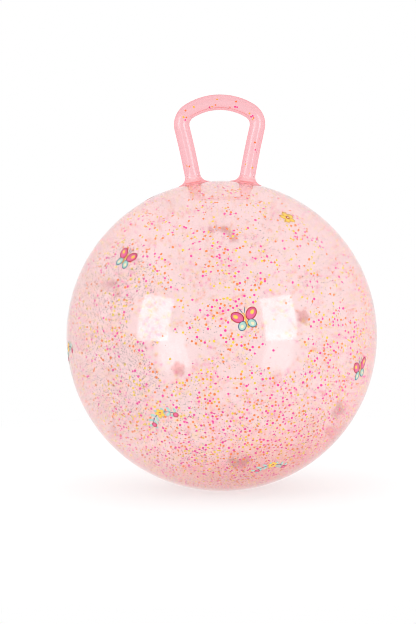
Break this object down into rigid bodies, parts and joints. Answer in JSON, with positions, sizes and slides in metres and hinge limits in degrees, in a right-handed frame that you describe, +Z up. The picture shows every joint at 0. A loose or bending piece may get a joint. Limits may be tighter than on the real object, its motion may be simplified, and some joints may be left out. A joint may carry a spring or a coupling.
{
  "type": "hopper ball",
  "caption": "See-through inflated hopper ball with a hollow loop handle to hold while bouncing, a push-in air valve, and confetti and glitter sealed inside.",
  "frame": {"origin": "centre of the ball's flattened foot, on the floor", "axes": "+Z up, the handle's loop in the XZ plane, +X towards the valve, -Y towards the viewer"},
  "size_m": [0.4499, 0.4498, 0.5712],
  "materials": {
    "pink_vinyl": "clear pink soft PVC, glossy, slightly cloudy",
    "pink_vinyl_handle": "clear pink soft PVC, glossy, deeper in colour where it is thick",
    "valve_vinyl": "cloudy pink PVC",
    "plug_polyethylene": "natural white polyethylene",
    "magenta_foil": "dyed polyester film",
    "orange_foil": "dyed polyester film",
    "yellow_foil": "dyed polyester film",
    "silver_foil": "metallised polyester film"
  },
  "bodies": {
    "ball": {"ball_shell": "pink_vinyl", "handle": "pink_vinyl_handle", "valve_seat": "valve_vinyl", "confetti_magenta": "magenta_foil", "confetti_orange": "orange_foil", "confetti_yellow": "yellow_foil", "fine_glitter": "silver_foil"},
    "plug": {"valve_plug": "plug_polyethylene"}
  },
  "joints": [
    {"name": "valve_plug_pull", "type": "slide", "parent": "ball", "child": "plug", "axis": [0.7431, 0, -0.6691], "range_m": [0, 0.03]}
  ]
}
